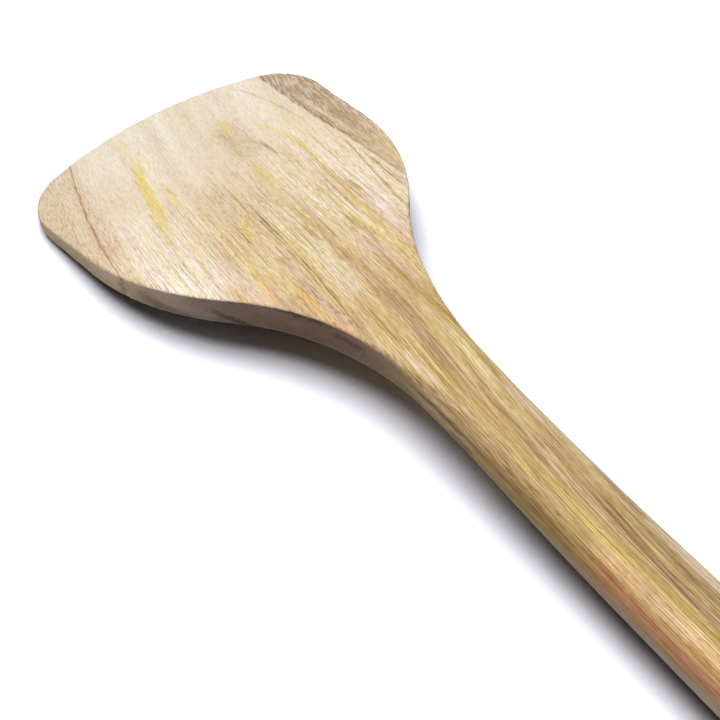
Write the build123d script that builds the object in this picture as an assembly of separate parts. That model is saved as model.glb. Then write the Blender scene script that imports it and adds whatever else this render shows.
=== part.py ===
from build123d import *
from math import cos, radians, sin
import os

# A flat-bladed wooden spatula, carved in one piece from a single billet.
# X runs along it from the blade (-X) to the end of the handle (+X), Y across it, Z up.
# Lengths along it below are measured from the middle of the leading edge.
# The part stands on z = 0 on the lip of its blade and on the end of its handle,
# with its origin under the middle of its bounding box.

# Overall
overall_length = 350.0

# Blade, seen from above
corner_width = 96.2  # between the two front corners, before they are rounded
edge_bow = 12.3  # how far the leading edge runs ahead of those corners
corner_radius = 19.0
shoulder_at = 71.5
shoulder_width = 90.8
shoulder_radius = 77.0

# Neck and handle, seen from above
neck_at = 118.0
neck_width = 19.8
neck_radius = 87.0
tail_width = 23.2

# Underside, seen from the side: lip on the table, arch under the neck, tail on the table
lip_length = 17.0
lip_radius = 60.0
arch_at = 122.0
arch_height = 14.6
arch_radius = 290.0
grip_under_at = 205.0
grip_under_height = 5.2
grip_under_radius = 400.0
tail_length = 20.0
tail_radius = 300.0

# Upper side, seen from the side: thin edge, ramp, crest over the neck, long fall to the tail
edge_thickness = 2.8
ramp_at = 30.0
ramp_height = 6.8
ramp_radius = 150.0
crest_at = 114.0
crest_height = 24.6
crest_radius = 300.0
grip_at = 196.0
grip_height = 19.2
grip_radius = 400.0
tail_height = 16.0

# Edges: sharp round the blade, then growing into the round of the handle
first_radius = 0.2
carve_from = 108.0
carve_to = 182.0
handle_radius = 6.4
roundest_share = 0.47  # of a section's lesser side, which limits its corners
dome_length = 9.0

# Sections that the handle is carved through, and those of the dome that ends it
section_count = 30
dome_section_count = 6
dome_last_angle = 78.0  # degrees of the dome's quarter ellipse, up to the small flat on its tip

# How far the blanks run past what they are trimmed to
overrun = 5.0


def plan_outline():
    """The outline from above: bowed leading edge, straight sides, round shoulders, slim neck."""
    corner = (edge_bow, corner_width / 2)
    shoulder = (shoulder_at, shoulder_width / 2)
    neck = (neck_at, neck_width / 2)
    tail = (overall_length, tail_width / 2)
    side = FilletPolyline(corner, shoulder, neck, tail, radius=[shoulder_radius, neck_radius])
    far_side = mirror(side, Plane.XZ)
    leading_edge = ThreePointArc(far_side @ 0, (0, 0), side @ 0)
    end = Line(side @ 1, far_side @ 1)
    outline = make_face([leading_edge, side, end, far_side])
    front_corners = outline.vertices().sort_by(Axis.X)[:2]
    return fillet(front_corners, corner_radius)


def side_outline():
    """The outline from the side, drawn on the XZ plane."""
    tail_at = overall_length - tail_length
    under = FilletPolyline(
        (0, 0),
        (lip_length, 0),
        (arch_at, arch_height),
        (grip_under_at, grip_under_height),
        (tail_at, 0),
        (overall_length, 0),
        radius=[lip_radius, arch_radius, grip_under_radius, tail_radius],
    )
    upper = FilletPolyline(
        (0, edge_thickness),
        (ramp_at, ramp_height),
        (crest_at, crest_height),
        (grip_at, grip_height),
        (overall_length, tail_height),
        radius=[ramp_radius, crest_radius, grip_radius],
    )
    front = Line(under @ 0, upper @ 0)
    back = Line(under @ 1, upper @ 1)
    return Plane.XZ * make_face([under, upper, front, back])


def sawn_blank():
    """The billet sawn to both outlines, with every edge still sharp."""
    from_above = extrude(plan_outline(), amount=crest_height, both=True)
    from_the_side = extrude(side_outline(), amount=corner_width / 2 + overrun, both=True)
    return from_above & from_the_side


def blade_of(blank):
    """The blank up to the neck, its edges left sharp."""
    return split(blank, bisect_by=Plane.YZ.offset(carve_from), keep=Keep.BOTTOM)


def carved_radius(along, lesser_side):
    """Corner radius of the section at a place between the neck and the tail."""
    share = min((along - carve_from) / (carve_to - carve_from), 1.0)
    eased_share = share * share * (3 - 2 * share)
    wanted = first_radius + (handle_radius - first_radius) * eased_share
    return min(wanted, roundest_share * lesser_side)


def handle_section(blank, along, size_share=1.0):
    """A rounded rectangle that fills the blank's own section there, or a share of it."""
    slice_plane = Plane.YZ.offset(along)
    box = (slice_plane * Rectangle(corner_width, 2 * crest_height) & blank).bounding_box()
    width = box.size.Y * size_share
    height = box.size.Z * size_share
    radius = carved_radius(along, min(box.size.Y, box.size.Z)) * size_share
    place = Plane(origin=(along, 0, box.center().Z), x_dir=(0, 1, 0), z_dir=(1, 0, 0))
    return place * RectangleRounded(width, height, radius)


def handle_of(blank):
    """Neck and handle, through evenly spaced sections whose corners grow rounder."""
    spacing = (overall_length - dome_length - carve_from) / section_count
    places = [carve_from + spacing * step for step in range(section_count + 1)]
    return loft([handle_section(blank, along) for along in places])


def dome_of(blank):
    """The handle's round end, whose sections shrink along a quarter of an ellipse."""
    last_angle = radians(dome_last_angle)
    dome_from = overall_length - dome_length
    sections = []
    for step in range(dome_section_count + 1):
        angle = last_angle * step / dome_section_count
        along = dome_from + dome_length * sin(angle) / sin(last_angle)
        sections.append(handle_section(blank, along, cos(angle)))
    return loft(sections)


def spatula():
    blank = sawn_blank()
    return blade_of(blank) + handle_of(blank) + dome_of(blank)


os.makedirs("parts", exist_ok=True)
part = Pos(-overall_length / 2, 0, 0) * spatula()
part.label = "spatula"
export_step(part, "parts/spatula.step")
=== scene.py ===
from math import radians
from typing import NamedTuple

import bmesh
import bpy
from bpy.props import FloatProperty, FloatVectorProperty, IntProperty, PointerProperty
from bpy.types import Operator, Panel, PropertyGroup
from mathutils import Matrix, Vector


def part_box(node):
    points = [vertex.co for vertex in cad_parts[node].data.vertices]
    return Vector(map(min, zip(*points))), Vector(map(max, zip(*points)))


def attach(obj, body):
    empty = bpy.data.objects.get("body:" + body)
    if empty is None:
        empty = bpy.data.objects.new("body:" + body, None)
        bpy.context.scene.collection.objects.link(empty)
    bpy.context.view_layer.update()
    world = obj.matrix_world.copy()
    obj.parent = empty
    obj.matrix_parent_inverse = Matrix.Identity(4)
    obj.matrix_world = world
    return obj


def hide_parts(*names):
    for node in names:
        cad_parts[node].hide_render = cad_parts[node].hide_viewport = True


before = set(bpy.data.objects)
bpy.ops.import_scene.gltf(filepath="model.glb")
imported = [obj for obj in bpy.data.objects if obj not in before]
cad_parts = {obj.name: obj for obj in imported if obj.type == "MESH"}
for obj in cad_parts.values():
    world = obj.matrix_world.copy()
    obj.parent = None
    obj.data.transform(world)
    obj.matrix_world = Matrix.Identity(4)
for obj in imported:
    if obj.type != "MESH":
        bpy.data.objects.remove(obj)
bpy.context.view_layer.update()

bl_info = {
    "name": "Wooden spatula",
    "version": (1, 0, 0),
    "blender": (4, 5, 0),
    "location": "3D View > Sidebar > Spatula",
    "description": "Carves a one-piece wooden spatula over its CAD solid and lights it on a white table",
    "category": "Object",
}

SPATULA = "spatula"
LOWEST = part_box(SPATULA)[0]
MM = 0.001


class SpatulaCarving(PropertyGroup):
    skin_step: FloatProperty(
        name="Skin step",
        description="Spacing of the points on the carved surface",
        default=0.00045,
        subtype="DISTANCE",
    )
    sanding: FloatProperty(
        name="Sanding",
        description="How far each pass eases the sawn edges",
        default=0.5,
        min=0.0,
        max=1.0,
    )
    sanding_passes: IntProperty(
        name="Sanding passes",
        description="How often the skin is sanded",
        default=8,
    )
    kept_share: FloatProperty(
        name="Kept share",
        description="Share of the skin's faces that is kept",
        default=0.48,
        min=0.1,
        max=1.0,
    )


class SpatulaWood(PropertyGroup):
    # Pale wood of the blade's front, brightened there as a painted highlight
    pale_and_highlight: FloatVectorProperty(
        name="Pale wood",
        description="Sapwood at the front of the blade",
        subtype="COLOR",
        size=4,
        default=(0.845, 0.765, 0.66, 1.0),
    )
    sunlit: FloatVectorProperty(
        name="Light wash",
        description="Lightest, creamy areas at both sides of the blade",
        subtype="COLOR",
        size=4,
        default=(0.90, 0.81, 0.68, 1.0),
    )
    cream: FloatVectorProperty(
        name="Cream wood",
        description="Wood of the middle of the blade",
        subtype="COLOR",
        size=4,
        default=(0.80, 0.645, 0.455, 1.0),
    )
    tan: FloatVectorProperty(
        name="Tan wood",
        description="Deeper wood of the neck",
        subtype="COLOR",
        size=4,
        default=(0.66, 0.48, 0.25, 1.0),
    )
    honey: FloatVectorProperty(
        name="Honey wood",
        description="Deepest wood, along the handle",
        subtype="COLOR",
        size=4,
        default=(0.53, 0.37, 0.135, 1.0),
    )
    olive: FloatVectorProperty(
        name="Olive stripe",
        description="Yellow-green stripes along the grain",
        subtype="COLOR",
        size=4,
        default=(0.61, 0.43, 0.115, 1.0),
    )
    pink: FloatVectorProperty(
        name="Pink stripe",
        description="Pinkish-brown stripes along the grain",
        subtype="COLOR",
        size=4,
        default=(0.64, 0.475, 0.32, 1.0),
    )
    mustard: FloatVectorProperty(
        name="Mustard streak",
        description="Yellow mineral streaks on the blade",
        subtype="COLOR",
        size=4,
        default=(0.80, 0.64, 0.22, 1.0),
    )
    heart: FloatVectorProperty(
        name="Heartwood",
        description="Grey-brown heartwood at one corner of the blade",
        subtype="COLOR",
        size=4,
        default=(0.39, 0.26, 0.165, 1.0),
    )
    stain: FloatVectorProperty(
        name="Side stain",
        description="Dark reddish brown of the sawn sides by the neck",
        subtype="COLOR",
        size=4,
        default=(0.215, 0.115, 0.08, 1.0),
    )
    # On the handle, the orange streak is partly a painted highlight along its ridge
    orange: FloatVectorProperty(
        name="Orange streak",
        description="Orange-tan streaks at the neck's near side and on the handle",
        subtype="COLOR",
        size=4,
        default=(0.80, 0.50, 0.20, 1.0),
    )
    brown: FloatVectorProperty(
        name="Brown streak",
        description="Darker streaks that run into the handle",
        subtype="COLOR",
        size=4,
        default=(0.25, 0.13, 0.06, 1.0),
    )
    # Greyer colour on the sawn sides low on the handle
    low_side_grey: FloatVectorProperty(
        name="Ash",
        description="Greyish wood low on the handle's sides",
        subtype="COLOR",
        size=4,
        default=(0.64, 0.56, 0.55, 1.0),
    )
    ember: FloatVectorProperty(
        name="Ember band",
        description="Light reddish band along the handle's near side",
        subtype="COLOR",
        size=4,
        default=(0.80, 0.41, 0.22, 1.0),
    )
    rust: FloatVectorProperty(
        name="Ring line",
        description="Reddish-brown late wood lines",
        subtype="COLOR",
        size=4,
        default=(0.38, 0.20, 0.10, 1.0),
    )


class SpatulaStage(PropertyGroup):
    azimuth: FloatProperty(
        name="Azimuth",
        description="Camera's turn round the spatula",
        default=radians(56.9),
        subtype="ANGLE",
    )
    elevation: FloatProperty(
        name="Elevation",
        description="Camera's height angle",
        default=radians(49.15),
        subtype="ANGLE",
    )
    roll: FloatProperty(
        name="Roll",
        description="Camera's turn about its own axis",
        default=radians(-4.79),
        subtype="ANGLE",
    )
    distance: FloatProperty(
        name="Distance",
        description="From the camera to its aim",
        default=0.4457,
        subtype="DISTANCE",
    )
    lens: FloatProperty(
        name="Lens",
        description="Focal length in millimetres on a 36 mm sensor",
        default=85.0,
    )
    aim: FloatVectorProperty(
        name="Aim",
        description="Point on the table that the camera faces",
        default=(-0.05901, -0.00601, 0.0),
        subtype="XYZ",
    )


class Shade:
    """A socket of a node tree. Sums on it add Math nodes, so that shader maths reads as sums."""

    def __init__(self, bench, socket):
        self.bench = bench
        self.socket = socket

    def __add__(self, other):
        return self.bench.math("ADD", self, other)

    def __sub__(self, other):
        return self.bench.math("SUBTRACT", self, other)

    def __mul__(self, other):
        return self.bench.math("MULTIPLY", self, other)

    def __truediv__(self, other):
        return self.bench.math("DIVIDE", self, other)

    def __rsub__(self, other):
        return self.bench.math("SUBTRACT", other, self)

    def __abs__(self):
        return self.bench.math("ABSOLUTE", self)

    __radd__ = __add__
    __rmul__ = __mul__


class Bench:
    """Adds nodes to one tree."""

    def __init__(self, tree):
        self.tree = tree

    def add(self, kind, settings=(), sockets=(), output=0):
        """A node of that type, its settings set first, then the values or links of its sockets.

        Sockets and the output go by name, or by number where two of a node share a name.
        """
        node = self.tree.nodes.new(kind)
        for name, value in dict(settings).items():
            setattr(node, name, value)
        for name, value in dict(sockets).items():
            if isinstance(value, Shade):
                self.tree.links.new(value.socket, node.inputs[name])
            else:
                node.inputs[name].default_value = value
        return Shade(self, node.outputs[output]) if node.outputs else None

    def math(self, operation, *values):
        return self.add("ShaderNodeMath", {"operation": operation}, dict(enumerate(values)))

    def step(self, value, low, high):
        """0 below low, 1 above high, and a smooth ramp between; falls if low is above high."""
        settings = {"interpolation_type": "SMOOTHSTEP", "clamp": False}
        sockets = {"Value": value, "From Min": low, "From Max": high}
        return self.add("ShaderNodeMapRange", settings, sockets)

    def mix(self, factor, first, second, blend="MIX"):
        """Sockets 6 and 7 of a Mix node are its colours, and its output 2 is the colour."""
        settings = {"data_type": "RGBA", "blend_type": blend}
        return self.add("ShaderNodeMix", settings, {0: factor, 6: first, 7: second}, output=2)

    def shade(self, colour, tone, dark, light):
        """The colour multiplied by a tint between dark and light."""
        return self.mix(1.0, colour, self.mix(tone, dark, light), "MULTIPLY")

    def dye(self, colour, mask, dye):
        """The colour, covered with another where the mask is 1."""
        return self.mix(mask, colour, tuple(dye))

    def at_least(self, least, mask):
        """The mask, with that value in place of 0."""
        return least + mask * (1 - least)

    def axes(self, vector):
        split = self.tree.nodes.new("ShaderNodeSeparateXYZ")
        self.tree.links.new(vector.socket, split.inputs[0])
        return [Shade(self, output) for output in split.outputs]

    def vector(self, x, y, z):
        return self.add("ShaderNodeCombineXYZ", (), {"X": x, "Y": y, "Z": z})


class Noise(NamedTuple):
    """Smooth noise: the lengths of its patches on each axis in millimetres, and its own seed."""

    lengths: tuple
    seed: float
    detail: float = 1.0
    roughness: float = 0.55


def marks(length, width, seed, detail=0.0, roughness=0.55):
    """Noise for marks of that length along the grain and that width across it."""
    return Noise((length, width, width), seed, detail, roughness)


# The middle of a noise, and the tone halfway between a dark and a light tint
HALFWAY = 0.5
# The grain fans out on the blade: how far it leans there, and the length that straightens it
LEAN = 27.0
LEAN_LENGTH = 109.0
# It climbs with the blade up to the neck, then falls with the handle
CROOK_REACH = (-20.0, 135.0)
CROOK_HEIGHT = 24.0
FALL_FROM = 130.0
FALL_SLOPE = 0.035
# It wanders a little all the way, and is curly at the front
WANDER = Noise((90.0, 22.0, 22.0), seed=11.0)
WANDER_WIDTH = 3.4
RIPPLE = Noise((11.0, 5.0, 5.0), seed=21.0)
RIPPLE_WIDTH = 1.1
RIPPLE_LOSS = 0.95
CURLY_END = (30.0, 75.0)
# Where a seed of 1 moves a noise, and the pores, on each axis
NOISE_SHIFT = (1.0, 1.7, 0.6)
PORE_SHIFT = (1.0, 1.3, 0.7)
# Fibres that break up the edges of streaks
EDGE_TURN = radians(-9.0)
EDGE_LENGTHS = (12.0, 0.9, 0.9)
EDGE_NOISE = Noise((1.0, 1.0, 1.0), seed=31.0, detail=2.0)
EDGE_WIDTH = 4.0
# A face is a sawn side where its normal's upward part is small
SIDE_NORMAL = (0.7, 0.3)
# Short dark dashes, one to a cell: the cell's length and width, the reach of a dash's rim as a
# share of the cell, and that of its core as a share of the rim
PORE_LENGTH = 5.0
PORE_SPACING = 0.75
PORE_RIM = 0.22
PORE_CORE = 0.35
PORE_SEED = 13.0


class Billet:
    """The wood's grain, in millimetres: along from the leading edge, across, and height."""

    def __init__(self, bench):
        self.bench = bench
        to_mm = {
            "Vector": bench.add("ShaderNodeTexCoord", output="Object"),
            "Location": (-LOWEST.x / MM, 0.0, 0.0),
            "Scale": (1 / MM, 1 / MM, 1 / MM),
        }
        self.place = bench.add("ShaderNodeMapping", (), to_mm)
        self.along, self.across, self.height = bench.axes(self.place)
        fibre = self.across - LEAN * bench.math("EXPONENT", self.along * (-1 / LEAN_LENGTH))
        crook = bench.step(self.along, *CROOK_REACH) * CROOK_HEIGHT
        fall = bench.math("MAXIMUM", self.along - FALL_FROM, 0.0) * FALL_SLOPE
        depth = self.height - crook + fall
        wander = self.noise_at(self.place, WANDER) - HALFWAY
        ripple = self.noise_at(self.place, RIPPLE) - HALFWAY
        curly = RIPPLE_WIDTH - bench.step(self.along, *CURLY_END) * RIPPLE_LOSS
        self.grain = bench.vector(self.along, fibre + wander * WANDER_WIDTH + ripple * curly, depth)
        upward = bench.axes(bench.add("ShaderNodeNewGeometry", output="Normal"))[2]
        self.sawn_side = bench.step(abs(upward), *SIDE_NORMAL)
        turned = {"Vector": self.place, "Rotation": (0.0, 0.0, EDGE_TURN), "Scale": EDGE_LENGTHS}
        edges = bench.add("ShaderNodeMapping", {"vector_type": "TEXTURE"}, turned)
        self.ragged = (self.noise_at(edges, EDGE_NOISE) - HALFWAY) * EDGE_WIDTH

    def noise_at(self, place, noise):
        """That noise, from 0 to 1 about a middle of 0.5. Its seed moves it elsewhere in space."""
        bench = self.bench
        scale = tuple(1 / length for length in noise.lengths)
        shift = tuple(noise.seed * share for share in NOISE_SHIFT)
        moved = {"Vector": place, "Scale": scale, "Location": shift}
        where = bench.add("ShaderNodeMapping", (), moved)
        sockets = {
            "Vector": where,
            "Scale": 1.0,
            "Detail": noise.detail,
            "Roughness": noise.roughness,
        }
        return bench.add("ShaderNodeTexNoise", {"noise_dimensions": "3D"}, sockets)

    def fibres(self, noise):
        """Noise that follows the grain."""
        return self.noise_at(self.grain, noise)

    def swing(self, noise):
        """The same, from -0.5 to 0.5 about 0."""
        return self.fibres(noise) - HALFWAY

    def pores(self):
        """Short dark dashes along the grain."""
        bench = self.bench
        scale = (1 / PORE_LENGTH, 1 / PORE_SPACING, 1 / PORE_SPACING)
        shift = tuple(PORE_SEED * share for share in PORE_SHIFT)
        moved = {"Vector": self.grain, "Scale": scale, "Location": shift}
        where = bench.add("ShaderNodeMapping", (), moved)
        away = bench.add("ShaderNodeTexVoronoi", (), {"Vector": where, "Scale": 1.0})
        return bench.step(away, PORE_RIM, PORE_RIM * PORE_CORE)

    def streak_mask(self, streak, level):
        """A band between two points, its edges broken up by fibres. Level is the second coordinate."""
        bench = self.bench
        start, end = streak.start, streak.end
        share = (self.along - start[0]) / (end[0] - start[0])
        line = start[1] + share * (end[1] - start[1]) + share * (1 - share) * (4 * streak.bow)
        off = abs(level + self.ragged * streak.ragged - line)
        half = streak.width / 2
        body = bench.step(off, half + streak.soft, max(half - streak.soft, 0.0))
        ends = bench.step(share, 0.0, streak.fade) * bench.step(share, 1.0, 1 - streak.fade)
        return body * ends * streak.strength

    def streaks(self, group, level=None):
        """All of a group's streaks as one mask. They lie across, or at another level."""
        level = level or self.across
        mask = self.streak_mask(group[0], level)
        for streak in group[1:]:
            mask = self.bench.math("MAXIMUM", mask, self.streak_mask(streak, level))
        return mask


class Streak(NamedTuple):
    """A coloured streak of the wood, in millimetres along and across from the leading edge.

    Bow is how far its middle stands off the straight line, ragged how strongly the fibres break
    up its edges, soft half the width of a blurred edge, and fade the share of its length over
    which each end fades.
    """

    start: tuple
    end: tuple
    width: float
    bow: float = 0.0
    strength: float = 1.0
    ragged: float = 1.0
    soft: float = 0.8
    fade: float = 0.25


# Tints that multiply the wood's colour
DARK_BAND = (0.74, 0.63, 0.38, 1.0)
LIGHT_BAND = (1.26, 1.36, 1.62, 1.0)
DARK_FIBRE = (0.58, 0.44, 0.10, 1.0)
LIGHT_FIBRE = (1.26, 1.34, 1.52, 1.0)
LINE_TINT = (0.72, 0.58, 0.40, 1.0)
STAIN_TINT = (0.37, 0.29, 0.29, 1.0)
WHITE = (1.0, 1.0, 1.0, 1.0)
YELLOWED = (1.02, 1.04, 0.83, 1.0)
PINKED = (1.0, 0.95, 1.07, 1.0)

# Wide soft areas of lighter and of deeper wood
LIGHT_WASHES = (
    Streak((28, -27), (104, -35), width=17.0, ragged=0.8, soft=3.5),
    Streak((26, 31), (110, 25), width=14.0, strength=0.75, ragged=0.8, soft=3.5),
    Streak((40, 15), (116, 12), width=10.0, strength=0.55, ragged=0.8, soft=3.0),
    Streak((62, 1), (118, -6), width=7.0, strength=0.35, ragged=0.8, soft=2.5),
    Streak((130, 7), (250, 7), width=7.0, strength=0.42, soft=2.0, fade=0.15),
)
DEEP_WASHES = (
    Streak((-12, -32), (60, -46), width=17.0, strength=0.42, ragged=0.8, soft=3.5, fade=0.15),
    Streak((18, 14), (44, 13), width=10.0, strength=0.3, ragged=0.8, soft=3.0),
    Streak((40, -6), (84, -8), width=7.0, strength=0.3, ragged=0.8, soft=2.5),
    Streak((98, -15), (132, -12), width=8.0, strength=0.6, ragged=0.8, soft=3.0),
)

# Mineral streaks; the last orange one is partly a painted highlight along the handle's ridge
MUSTARD_STREAKS = (
    Streak((12, -12.6), (62, -27.4), width=3.7, ragged=1.4, soft=0.6),
    Streak((1, -11.5), (26, -13.5), width=4.0, strength=0.3, soft=1.5),
    Streak((24, 21.3), (64, 22.6), width=1.6, bow=2.4, ragged=0.9, soft=0.6),
    Streak((31, -13.6), (52, -18.8), width=1.5, bow=0.8, strength=0.8, soft=0.6),
    Streak((17, 15), (28, 13.6), width=2.6, strength=0.7),
    Streak((44, 9.4), (60, 8.4), width=2.4, strength=0.7),
    Streak((56, 10.8), (66, 10.4), width=1.6, strength=0.6),
    Streak((64, -7.6), (77, -11.2), width=1.9, soft=0.6),
    Streak((6, 9), (13, 9.5), width=1.6, strength=0.4),
    Streak((61, -22.6), (82, -28), width=1.0, strength=0.6),
    Streak((198, -4.4), (218, -5.2), width=1.6, strength=0.7),
    Streak((202, -6.6), (240, -7), width=1.8, strength=0.9),
)
OLIVE_STREAKS = (
    Streak((46, 23.6), (128, 14), width=2.8, strength=0.85),
    Streak((72, 23.3), (81, 22.8), width=1.2, strength=0.7),
    Streak((84, 14), (112, 12.5), width=3.6, strength=0.8),
    Streak((42, 17.8), (80, 16.5), width=7.0, strength=0.28, soft=2.0),
    Streak((74, 5.4), (108, 4), width=2.6, strength=0.7),
    Streak((74, -3), (108, -8), width=0.9, strength=0.9),
    Streak((112, -4), (132, -6), width=4.0, strength=0.5),
    Streak((112, 13), (170, 7.5), width=3.0, bow=-1.5, strength=0.6),
    Streak((140, -2), (225, -5), width=5.0, strength=0.8),
    Streak((128, 4.5), (200, 4), width=2.0, strength=0.6),
    Streak((206, 0.4), (258, -3.4), width=2.2, strength=0.8),
)
ORANGE_STREAKS = (
    Streak((76, -14.6), (112, -21.4), width=1.3, bow=-1.3, strength=0.9, fade=0.12),
    Streak((84, -27), (108, -23.5), width=3.0, strength=0.6),
    Streak((56, -27.6), (64, -27), width=2.0, strength=0.4),
    Streak((46, -33), (74, -40), width=0.4, strength=0.6, ragged=0.5, soft=0.4),
    Streak((37, -40.6), (42, -40.9), width=1.2, strength=0.5),
    Streak((31, -44.3), (36, -44.9), width=1.0, strength=0.6),
    Streak((24, -41.8), (28, -42.4), width=1.2, strength=0.4),
    Streak((45, -42.2), (51, -42.8), width=1.0, strength=0.6),
    Streak((96, -15), (132, -13.5), width=3.6, strength=0.7),
    # Partly orange wood, partly a painted highlight along the handle's ridge
    Streak((200, -7), (280, -6.4), width=5.0, fade=0.2),
)

# Streaks of darker, of redder and of bleached wood; one pale streak is a painted highlight along the
# handle's ridge
BROWN_STREAKS = (
    Streak((70, 4.4), (128, 1.2), width=1.6, strength=0.3),
    Streak((96, 5.5), (168, -3.5), width=3.0, bow=0.6, strength=0.25),
    Streak((52, -1.6), (136, -12), width=0.4, bow=0.4, strength=0.75, ragged=0.3, soft=0.3),
    Streak((62, -3.5), (112, -10), width=0.3, bow=0.3, strength=0.7, ragged=0.3, soft=0.3),
    Streak((36, 17.8), (48, 17.1), width=0.5, strength=0.6, ragged=0.5, soft=0.4),
    Streak((31, -13.8), (43, -14), width=0.3, strength=0.4, ragged=0.5, soft=0.4),
    Streak((8, -3.2), (19, -2.4), width=0.4, strength=0.3, ragged=0.5, soft=0.4),
    Streak((84, 11.6), (120, 9.8), width=0.3, strength=0.5, ragged=0.5, soft=0.4),
    Streak((136, 4.5), (196, -2), width=0.5, strength=0.6, ragged=0.2, soft=0.4),
    Streak((150, 1.8), (190, -1.8), width=0.5, strength=0.7, ragged=0.2, soft=0.4),
    Streak((192, 3.8), (232, 0.4), width=0.7, ragged=0.15, soft=0.4),
    Streak((193, 2.2), (262, -2.4), width=0.8, ragged=0.15, soft=0.35, fade=0.1),
    Streak((196, 5.8), (262, 3.2), width=2.6, strength=0.5),
    Streak((214, 1), (276, 0), width=2.4, strength=0.45),
    Streak((135, -8), (212, -9.5), width=0.8, strength=0.45, ragged=0.5, soft=0.5),
    Streak((158, -6.6), (200, -8), width=1.8, strength=0.22, ragged=0.6),
    Streak((188, 8.2), (210, 8), width=1.6, strength=0.45),
)
PINK_STREAKS = (
    Streak((23, 11.4), (35, 13), width=2.2),
    Streak((29, 14.4), (46, 18.6), width=1.8, strength=0.9),
    Streak((32, -14.8), (54, -21.5), width=2.2, strength=0.5),
    Streak((50, 0.6), (80, 4.5), width=2.8, bow=0.6, strength=0.6),
    Streak((61, -4), (82, -5.5), width=2.4, strength=0.6),
    Streak((64, -5.8), (110, -9.6), width=1.6, strength=0.8),
    Streak((12, -5), (26, -3), width=2.4, strength=0.3),
    Streak((88, 9), (116, 9.5), width=2.2, strength=0.4),
    Streak((126, -3), (139, -5), width=3.0, strength=0.6),
    Streak((205, 7.4), (262, 6.4), width=2.6, strength=0.7),
)
PALE_STREAKS = (
    Streak((82, 0.6), (120, -2.6), width=3.2, strength=0.7),
    Streak((135, -6.5), (152, -6.5), width=1.8, strength=0.6),
    # Painted highlight along the handle's ridge, over a pale streak
    Streak((204, -6.6), (242, -7), width=2.2, ragged=0.5, fade=0.2),
    Streak((60, 17.6), (80, 17), width=2.5, strength=0.5),
    Streak((118, 8), (150, 7), width=1.2, strength=0.5),
    Streak((148, 6), (170, 4.8), width=0.9, strength=0.8, ragged=0.5, soft=0.5),
    Streak((156, 2.8), (178, 1.2), width=0.7, strength=0.7, ragged=0.5, soft=0.5),
)

# Thin lines of late wood, and the rust band low on the handle
RING_LINES = (
    Streak((2, -27.6), (66, -45), width=0.5, bow=-1.9, strength=0.85, ragged=0.45, soft=0.4, fade=0.06),
    Streak((12, -37), (46, -46.5), width=0.2, strength=0.4, ragged=0.4, soft=0.4),
    Streak((3, 25.5), (44, 32.2), width=0.3, bow=2.8, strength=0.35, ragged=0.2, soft=0.5),
    Streak((52, 35.6), (97, 26.6), width=0.3, bow=-0.6, strength=0.8, ragged=0.4, soft=0.4),
    Streak((62, 34.4), (90, 31.6), width=0.3, strength=0.7, ragged=0.5, soft=0.4),
    Streak((66, 31.8), (96, 27), width=0.3, strength=0.6, ragged=0.4, soft=0.4),
    Streak((46, 36.4), (86, 35.2), width=0.5, strength=0.7, ragged=0.4, soft=0.4),
    Streak((204, -9.6), (280, -8.8), width=2.8, strength=0.6, ragged=0.8, fade=0.2),
)

# Dark stains, reddish bands and yellow parts of the near side. Their second number is the height
# above the table.
SIDE_STAINS = (
    Streak((66, 11), (104, 5.5), width=3.6, strength=0.7, ragged=0.6, soft=1.4, fade=0.15),
    Streak((86, 15), (108, 7), width=1.6, ragged=0.6),
    Streak((102, 20.4), (120, 21), width=1.7, strength=0.7, ragged=1.0),
    Streak((117, 18.8), (129, 19.2), width=1.9, strength=0.7, ragged=1.0),
    Streak((158, 15.5), (169, 15), width=1.2, strength=0.8, ragged=0.5),
    Streak((136, 19.6), (206, 16), width=0.8, strength=0.9, ragged=0.5, soft=0.5),
    Streak((176, 16.4), (262, 14.2), width=1.6, strength=0.3, ragged=0.7),
)
SIDE_EMBER = (
    Streak((200, 14.8), (330, 13), width=4.6, strength=0.95, ragged=0.7, soft=1.2, fade=0.15),
    Streak((196, 5), (330, 4.6), width=2.4, strength=0.3, ragged=0.6),
)
SIDE_YELLOW = (
    Streak((14, 3), (62, 6), width=5.0, strength=0.5, soft=2.0),
    Streak((58, 2.6), (84, 5.6), width=3.0, strength=0.9, ragged=0.7),
    Streak((186, 18.6), (258, 16.6), width=1.4, strength=0.3, ragged=0.5),
)


# Where each change of the wood begins and ends, in millimetres along from the leading edge
# The pale front, partly a painted highlight, gives way to cream
CREAM_REACH = (5.0, 75.0)
TAN_REACH = (70.0, 140.0)
HONEY_REACH = (130.0, 210.0)
STRENGTH_REACH = (30.0, 75.0)
HUE_REACH = (35.0, 110.0)
LONG_MARKS_REACH = (25.0, 75.0)
BAND_REACH = (80.0, 130.0)
HANDLE_REACH = (115.0, 150.0)

# Soft areas of another hue. An edge, here and below, is the two values between which an area
# or mark fades in; a share is how strongly it shows.
YELLOW_AREAS = marks(45.0, 4.2, seed=3.0, detail=2.0, roughness=0.6)
PINK_AREAS = marks(50.0, 5.0, seed=17.0, detail=2.0, roughness=0.6)
AREA_EDGE = (0.48, 0.66)
AREA_SHARE = 0.45

# The least share of marks, hues, streaks and pores, and the full share of some streaks
LEAST_STRENGTH = 0.4
LEAST_HUE = 0.2
LEAST_PATCHY = 0.3
LEAST_MUSTARD = 0.35
LEAST_LASTING = 0.4
LEAST_PORE = 0.35
OLIVE_SHARE = 0.85
ORANGE_SHARE = 0.9
PINK_SHARE = 0.8

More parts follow.
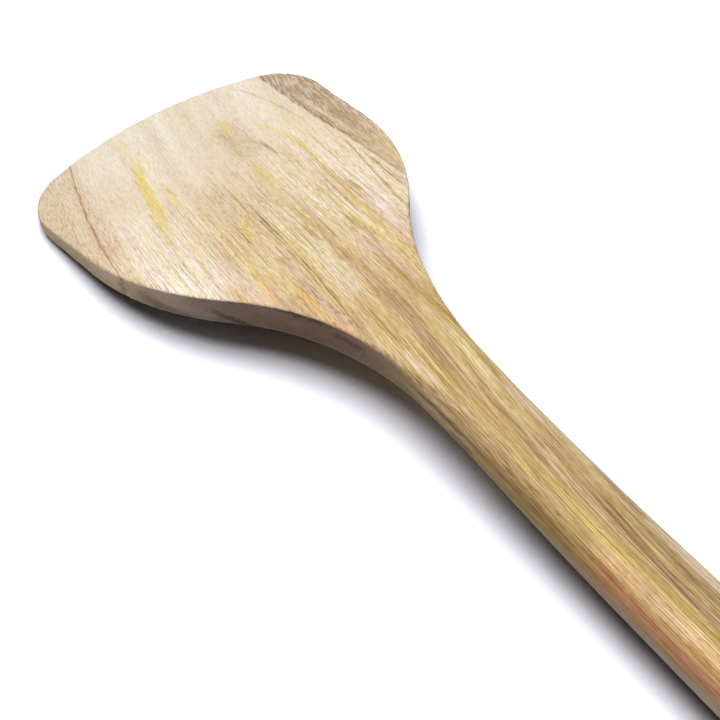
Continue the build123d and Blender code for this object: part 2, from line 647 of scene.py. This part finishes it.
# Marks that speckle the heartwood and the deep washes, and gaps that break up the streaks
SPECKLE = marks(5.5, 0.8, seed=91.0, detail=3.0, roughness=0.75)
SPECKLE_EDGE = (0.43, 0.55)
SPECKLE_SHARE = 0.25
DASHES = marks(1.9, 0.38, seed=71.0, detail=1.0)
DASH_EDGE = (0.54, 0.61)
DASH_SHARE = 1.3
PATCHES = marks(20.0, 0.9, seed=41.0, detail=3.0, roughness=0.7)
PATCH_EDGE = (0.4, 0.58)

# The heartwood: a ragged strip of the blade's far side, with a darker rim and a paler gap. Its
# edge, rim and gap are in millimetres across.
HEART_EDGE = (35.4, 36.6)
HEART_REACH = (108.0, 45.0)
HEART_RAGGED = 0.5
HEART_NARROWING = 1.2
HEART_NARROWING_REACH = (60.0, 95.0)
HEART_BASE = 0.36
HEART_SPECKLE = 0.5
HEART_RIM_AT = 36.5
HEART_RIM = (0.8, 0.2)
HEART_RIM_SHARE = 0.35
HEART_GAP_AT = 38.7
HEART_GAP = (1.1, 0.3)
HEART_GAP_REACH = (20.0, 34.0)
HEART_GAP_SHARE = 0.6
HEART_FADE_REACH = (35.0, 70.0)
HEART_FADED = 0.65

# The sawn sides: smudged, dark by the neck, ashy low on the handle, and calmer in their marks.
# The near side begins between two places across.
NEAR_EDGE = (-4.0, -8.0)
SMUDGES = Noise((14.0, 9.0, 5.0), seed=83.0, detail=3.0, roughness=0.6)
SMUDGE_EDGE = (0.42, 0.62)
SMUDGE_SHARE = 0.1
DARK_SIDE_FROM = (55.0, 95.0)
DARK_SIDE_TO = (165.0, 120.0)
DARK_SIDE_SHARE = 0.8
ASH_FROM = (125.0, 165.0)
ASH_TO = (230.0, 310.0)
ASH_HEIGHTS = (15.0, 9.0)
ASH_SHARE = 0.85
ASH_LOSS = 0.75
SIDE_YELLOW_SHARE = 0.9
SIDE_CALM = 0.45

# Soft long bands, then fine marks: each a noise and its share. A gain is added to the share
# farther along, and on the handle a shift goes from the short thin marks to the long ones.
# The marks' own contrast has a base and grows with the wood's strength and on the handle.
BANDS = marks(150.0, 5.5, seed=5.0, detail=1.0, roughness=0.5)
BAND_BLADE = 0.5
BAND_HANDLE_GAIN = 0.9
SHORT_THIN = marks(2.4, 0.28, seed=9.0)
SHORT_THIN_SHARE = 0.9
LONG_THIN = marks(32.0, 0.30, seed=19.0)
LONG_THIN_SHARE = 0.75
THIN_HANDLE_SHIFT = 0.35
SHORT_WIDE = marks(6.0, 0.8, seed=29.0)
SHORT_WIDE_SHARE = 0.15
LONG_WIDE = marks(60.0, 1.3, seed=39.0)
LONG_WIDE_SHARE = 0.08
LONG_WIDE_GAIN = 0.16
MARK_BASE = 0.25
MARK_STRENGTH = 0.6
MARK_HANDLE = 0.45
MARK_MIDDLE = 0.6
STRIPES = marks(60.0, 2.6, seed=51.0, detail=2.0, roughness=0.6)
STRIPE_EDGE = (0.36, 0.64)
LINES = marks(34.0, 0.36, seed=61.0)
LINE_EDGE = (0.57, 0.7)
LINE_SHARE = 0.7
PORE_SHARE = 0.6

# The surface: fine marks raise it, pores and lines cut it, each by its share of the relief
RELIEF_MARKS = 0.4
RELIEF_PORES = 1.2
RELIEF_LINES = 0.4
RELIEF_STRENGTH = 0.35
RELIEF_DEPTH = 0.12 * MM
ROUGHNESS = 0.5
PORE_ROUGHNESS = 0.1
WOOD_IOR = 1.45


def ground_wood(bench, billet, look, hue_strength):
    """Pale at the front, partly as a painted highlight, and honey along the handle, with soft yellow and
    pink areas.
    """
    along = billet.along
    tan_share = bench.step(along, *TAN_REACH)
    # Pale front: partly pale wood, partly a painted highlight
    colour = bench.mix(bench.step(along, *CREAM_REACH), tuple(look.pale_and_highlight), tuple(look.cream))
    colour = bench.dye(colour, tan_share, look.tan)
    colour = bench.dye(colour, bench.step(along, *HONEY_REACH), look.honey)
    yellow = bench.step(billet.fibres(YELLOW_AREAS), *AREA_EDGE)
    blush = bench.step(billet.fibres(PINK_AREAS), *AREA_EDGE)
    colour = bench.dye(colour, yellow * hue_strength * AREA_SHARE, look.olive)
    return bench.dye(colour, blush * hue_strength * AREA_SHARE, look.pink)


def streaked(bench, billet, look, colour, speckle, patchy):
    """The washes and streaks, broken up where the patches are low."""
    colour = bench.dye(colour, billet.streaks(LIGHT_WASHES), look.sunlit)
    deep = billet.streaks(DEEP_WASHES)
    colour = bench.dye(colour, deep, look.pink)
    dashes = bench.step(billet.fibres(DASHES), *DASH_EDGE) * DASH_SHARE + speckle * SPECKLE_SHARE
    colour = bench.shade(colour, deep * dashes, WHITE, LINE_TINT)
    # Pale streaks, one of them a painted highlight along the handle's ridge
    colour = bench.dye(colour, billet.streaks(PALE_STREAKS) * patchy, look.pale_and_highlight)
    mustard = billet.streaks(MUSTARD_STREAKS) * bench.at_least(LEAST_MUSTARD, patchy)
    colour = bench.dye(colour, mustard, look.mustard)
    colour = bench.dye(colour, billet.streaks(OLIVE_STREAKS) * patchy * OLIVE_SHARE, look.olive)
    # Orange streaks, one partly a painted highlight along the handle's ridge
    colour = bench.dye(colour, billet.streaks(ORANGE_STREAKS) * patchy * ORANGE_SHARE, look.orange)
    return bench.dye(colour, billet.streaks(PINK_STREAKS) * patchy * PINK_SHARE, look.pink)


def with_heart(bench, billet, look, colour, speckle):
    """The grey-brown heartwood at one corner of the blade."""
    along = billet.along
    blurred = billet.across + billet.ragged * HEART_RAGGED
    edge = blurred + bench.step(along, *HEART_NARROWING_REACH) * HEART_NARROWING
    heart = bench.step(edge, *HEART_EDGE) * bench.step(along, *HEART_REACH)
    gap = bench.step(abs(blurred - HEART_GAP_AT), *HEART_GAP) * bench.step(along, *HEART_GAP_REACH)
    rim = bench.step(abs(edge - HEART_RIM_AT), *HEART_RIM) * HEART_RIM_SHARE
    fade = 1.0 - bench.step(along, *HEART_FADE_REACH) * (1 - HEART_FADED)
    body = heart * (HEART_BASE + speckle * (HEART_SPECKLE + rim))
    return bench.dye(colour, body * (1.0 - gap * HEART_GAP_SHARE) * fade, look.heart)


def with_sawn_sides(bench, billet, look, colour, lasting):
    """The sides: dark by the neck, ashy low on the handle, stained and streaked on the near side."""
    along, height = billet.along, billet.height
    near = bench.step(billet.across, *NEAR_EDGE)
    near_side = billet.sawn_side * near
    smudge = bench.step(billet.noise_at(billet.place, SMUDGES), *SMUDGE_EDGE)
    dark = bench.step(along, *DARK_SIDE_FROM) * bench.step(along, *DARK_SIDE_TO)
    stained = billet.sawn_side * (smudge * SMUDGE_SHARE + dark * DARK_SIDE_SHARE)
    colour = bench.dye(colour, stained, look.stain)
    # Greyer colour low on the handle's sawn sides
    low = billet.sawn_side * bench.step(along, *ASH_FROM) * bench.step(height, *ASH_HEIGHTS)
    colour = bench.dye(colour, low * (ASH_SHARE - bench.step(along, *ASH_TO) * ASH_LOSS), look.low_side_grey)
    yellow = billet.streaks(SIDE_YELLOW, height) * near_side * SIDE_YELLOW_SHARE
    colour = bench.dye(colour, yellow, look.olive)
    colour = bench.dye(colour, billet.streaks(SIDE_EMBER, height) * near * lasting, look.ember)
    stains = billet.streaks(SIDE_STAINS, height) * near_side
    return bench.shade(colour, stains, WHITE, STAIN_TINT)


def wood_material(look):
    material = bpy.data.materials.new("spatula_wood")
    material.use_nodes = True
    tree = material.node_tree
    tree.nodes.clear()
    bench = Bench(tree)
    billet = Billet(bench)
    along = billet.along

    # The deeper the wood, the stronger its marks and their hues
    strength = bench.at_least(LEAST_STRENGTH, bench.step(along, *STRENGTH_REACH))
    hue_strength = bench.at_least(LEAST_HUE, bench.step(along, *HUE_REACH))
    colour = ground_wood(bench, billet, look, hue_strength)

    speckle = bench.step(billet.fibres(SPECKLE), *SPECKLE_EDGE)
    patchy = bench.at_least(LEAST_PATCHY, bench.step(billet.fibres(PATCHES), *PATCH_EDGE))
    colour = streaked(bench, billet, look, colour, speckle, patchy)
    lasting = bench.at_least(LEAST_LASTING, patchy)
    colour = bench.dye(colour, billet.streaks(BROWN_STREAKS) * lasting, look.brown)
    colour = bench.dye(colour, billet.streaks(RING_LINES) * lasting, look.rust)
    colour = with_heart(bench, billet, look, colour, speckle)
    colour = with_sawn_sides(bench, billet, look, colour, lasting)

    # Soft long bands
    calm = 1.0 - SIDE_CALM * billet.sawn_side
    long_share = bench.step(along, *LONG_MARKS_REACH)
    band = billet.swing(BANDS)
    band_share = BAND_BLADE + BAND_HANDLE_GAIN * bench.step(along, *BAND_REACH)
    colour = bench.shade(colour, HALFWAY + band * band_share, DARK_BAND, LIGHT_BAND)

    # Fine marks, both short dashes and long lines
    short_thin = billet.swing(SHORT_THIN)
    long_thin = billet.swing(LONG_THIN)
    short_wide = billet.swing(SHORT_WIDE)
    long_wide = billet.swing(LONG_WIDE)
    handle_share = bench.step(along, *HANDLE_REACH)
    shift = handle_share * THIN_HANDLE_SHIFT
    fine = short_thin * (SHORT_THIN_SHARE - shift) + long_thin * long_share * (LONG_THIN_SHARE + shift)
    wide_share = LONG_WIDE_SHARE + LONG_WIDE_GAIN * long_share
    middle = short_wide * SHORT_WIDE_SHARE + long_wide * wide_share
    contrast = MARK_BASE + MARK_STRENGTH * strength + MARK_HANDLE * handle_share
    tone = MARK_MIDDLE + (fine + middle) * contrast * calm
    colour = bench.shade(colour, tone, DARK_FIBRE, LIGHT_FIBRE)

    # Yellower and pinker stripes, thin dark lines, and pores
    stripe = bench.step(billet.fibres(STRIPES), *STRIPE_EDGE)
    hue = HALFWAY + (stripe - HALFWAY) * hue_strength
    colour = bench.shade(colour, hue, YELLOWED, PINKED)
    line = bench.step(billet.fibres(LINES), *LINE_EDGE)
    colour = bench.shade(colour, line * long_share * calm * LINE_SHARE, WHITE, LINE_TINT)
    pore = billet.pores()
    pitted = pore * PORE_SHARE * bench.at_least(LEAST_PORE, strength) * calm
    colour = bench.dye(colour, pitted, look.rust)

    relief = fine * RELIEF_MARKS - pore * RELIEF_PORES - line * RELIEF_LINES
    bump = {"Strength": RELIEF_STRENGTH, "Distance": RELIEF_DEPTH, "Height": relief}
    surface = {
        "Base Color": colour,
        "Roughness": ROUGHNESS + pore * PORE_ROUGHNESS,
        "Normal": bench.add("ShaderNodeBump", (), bump),
        "IOR": WOOD_IOR,
    }
    shader = bench.add("ShaderNodeBsdfPrincipled", (), surface)
    bench.add("ShaderNodeOutputMaterial", (), {"Surface": shader})
    return material


# Points of the CAD mesh that lie closer than this are one
SAME_POINT = 0.01 * MM


def sanded_copy(node, carving):
    """The CAD solid's surface as an even skin of small faces with its edges eased."""
    source = bmesh.new()
    source.from_mesh(node.data)
    bmesh.ops.remove_doubles(source, verts=source.verts, dist=SAME_POINT)
    mesh = bpy.data.meshes.new("spatula_body")
    source.to_mesh(mesh)
    source.free()
    rough = bpy.data.objects.new("spatula_rough", mesh)
    bpy.context.scene.collection.objects.link(rough)
    skin = rough.modifiers.new("skin", "REMESH")
    skin.mode = "VOXEL"
    skin.voxel_size = carving.skin_step
    skin.use_smooth_shade = True
    sand = rough.modifiers.new("sand", "SMOOTH")
    sand.factor = carving.sanding
    sand.iterations = carving.sanding_passes
    thin = rough.modifiers.new("thin", "DECIMATE")
    thin.ratio = carving.kept_share
    shaped = rough.evaluated_get(bpy.context.evaluated_depsgraph_get())
    finished = bpy.data.objects.new("spatula_body", bpy.data.meshes.new_from_object(shaped))
    bpy.context.scene.collection.objects.link(finished)
    bpy.data.objects.remove(rough)
    return finished


class SPATULA_OT_carve(Operator):
    """Carves the spatula's skin over its CAD solid and finishes its wood"""

    bl_idname = "spatula.carve"
    bl_label = "Carve spatula"

    def execute(self, context):
        body = sanded_copy(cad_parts[SPATULA], context.scene.spatula_carving)
        body.data.materials.clear()
        body.data.materials.append(wood_material(context.scene.spatula_wood))
        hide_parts(SPATULA)
        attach(body, "root")
        return {"FINISHED"}


# The table's half side, and its colours: as it lights the spatula, as it is seen, and the
# painted contact shadow that darkens it where little of the room reaches it
FLOOR_HALF = 3.0
FLOOR_LIT = (0.6, 0.6, 0.6, 1.0)
FLOOR_SEEN = (1.4, 1.41, 1.57, 1.0)
FLOOR_PAINTED_SHADOW = (0.02, 0.03, 0.07, 1.0)
# Reach, samples and edge of the ambient occlusion that paints the contact shadow
SHADE_DISTANCE = 0.021
SHADE_SAMPLES = 4
SHADE_EDGE = (0.15, 0.8)


def white_floor():
    """A table sheet that the camera sees brighter than the spatula is lit by it.

    A painted contact shadow darkens it where the spatula lies close over it.
    """
    mesh = bpy.data.meshes.new("floor")
    sheet = bmesh.new()
    bmesh.ops.create_grid(sheet, x_segments=1, y_segments=1, size=FLOOR_HALF)
    sheet.to_mesh(mesh)
    sheet.free()
    floor = bpy.data.objects.new("floor", mesh)
    bpy.context.scene.collection.objects.link(floor)
    material = bpy.data.materials.new("white_floor")
    material.use_nodes = True
    tree = material.node_tree
    tree.nodes.clear()
    bench = Bench(tree)
    seen = bench.add("ShaderNodeLightPath", output="Is Camera Ray")
    crowding = {"Distance": SHADE_DISTANCE}
    # Painted contact shadow: ambient occlusion darkens the seen colour near the spatula
    openness = bench.add("ShaderNodeAmbientOcclusion", {"samples": SHADE_SAMPLES}, crowding, "AO")
    white = bench.mix(bench.step(openness, *SHADE_EDGE), FLOOR_PAINTED_SHADOW, FLOOR_SEEN)
    colour = bench.mix(seen, FLOOR_LIT, white)
    shader = bench.add("ShaderNodeBsdfDiffuse", (), {"Color": colour})
    bench.add("ShaderNodeOutputMaterial", (), {"Surface": shader})
    mesh.materials.append(material)


class Lamp(NamedTuple):
    """A round area lamp, in metres and watts."""

    name: str
    place: tuple
    size: float
    power: float
    colour: tuple


LAMPS = (
    Lamp("ceiling_light", place=(-0.45, 0.0, 1.55), size=1.45, power=27.5, colour=(1.0, 0.99, 0.97)),
    Lamp("window", place=(0.33, 0.83, 1.31), size=0.9, power=3.4, colour=(1.0, 1.0, 1.0)),
)
LAMP_AIM = Vector((-0.06, 0.0, 0.0))
SKY = (0.6, 0.7, 1.0, 1.0)
SKY_STRENGTH = 0.05
SENSOR_WIDTH = 36.0


def area_lamp(kind):
    data = bpy.data.lights.new(kind.name, "AREA")
    data.shape = "DISK"
    data.size = kind.size
    data.energy = kind.power
    data.color = kind.colour
    lamp = bpy.data.objects.new(kind.name, data)
    lamp.location = kind.place
    lamp.rotation_euler = (LAMP_AIM - Vector(kind.place)).to_track_quat("-Z", "Y").to_euler()
    bpy.context.scene.collection.objects.link(lamp)


def pale_sky():
    world = bpy.data.worlds.new("sky")
    bpy.context.scene.world = world
    world.use_nodes = True
    world.node_tree.nodes.clear()
    bench = Bench(world.node_tree)
    sky = bench.add("ShaderNodeBackground", (), {"Color": SKY, "Strength": SKY_STRENGTH})
    bench.add("ShaderNodeOutputWorld", (), {"Surface": sky})


def photo_camera(stage):
    data = bpy.data.cameras.new("camera")
    data.lens = stage.lens
    data.sensor_width = SENSOR_WIDTH
    camera = bpy.data.objects.new("camera", data)
    turn = (
        Matrix.Rotation(stage.azimuth, 4, "Z")
        @ Matrix.Rotation(radians(90.0) - stage.elevation, 4, "X")
        @ Matrix.Rotation(stage.roll, 4, "Z")
    )
    back_off = Matrix.Translation((0.0, 0.0, stage.distance))
    camera.matrix_world = Matrix.Translation(Vector(stage.aim)) @ turn @ back_off
    bpy.context.scene.collection.objects.link(camera)
    bpy.context.scene.camera = camera


class SPATULA_OT_set_stage(Operator):
    """Lays the white table, sets the lamps and the sky, and places the camera"""

    bl_idname = "spatula.set_stage"
    bl_label = "Set stage"

    def execute(self, context):
        white_floor()
        for kind in LAMPS:
            area_lamp(kind)
        pale_sky()
        context.scene.view_settings.view_transform = "Standard"
        photo_camera(context.scene.spatula_stage)
        return {"FINISHED"}


class SPATULA_PT_sidebar(Panel):
    """Lists the spatula's operators and their sizes and colours"""

    bl_label = "Wooden spatula"
    bl_idname = "SPATULA_PT_sidebar"
    bl_space_type = "VIEW_3D"
    bl_region_type = "UI"
    bl_category = "Spatula"

    def draw(self, context):
        layout = self.layout
        layout.operator(SPATULA_OT_carve.bl_idname)
        layout.operator(SPATULA_OT_set_stage.bl_idname)
        scene = context.scene
        for group in (scene.spatula_carving, scene.spatula_wood, scene.spatula_stage):
            box = layout.box()
            for name in group.__annotations__:
                box.prop(group, name)


CLASSES = (
    SpatulaCarving,
    SpatulaWood,
    SpatulaStage,
    SPATULA_OT_carve,
    SPATULA_OT_set_stage,
    SPATULA_PT_sidebar,
)


def register():
    for cls in CLASSES:
        bpy.utils.register_class(cls)
    bpy.types.Scene.spatula_carving = PointerProperty(type=SpatulaCarving)
    bpy.types.Scene.spatula_wood = PointerProperty(type=SpatulaWood)
    bpy.types.Scene.spatula_stage = PointerProperty(type=SpatulaStage)


def unregister():
    del bpy.types.Scene.spatula_stage
    del bpy.types.Scene.spatula_wood
    del bpy.types.Scene.spatula_carving
    for cls in reversed(CLASSES):
        bpy.utils.unregister_class(cls)


def main():
    register()
    bpy.ops.spatula.carve()
    bpy.ops.spatula.set_stage()


if __name__ == "__main__":
    main()
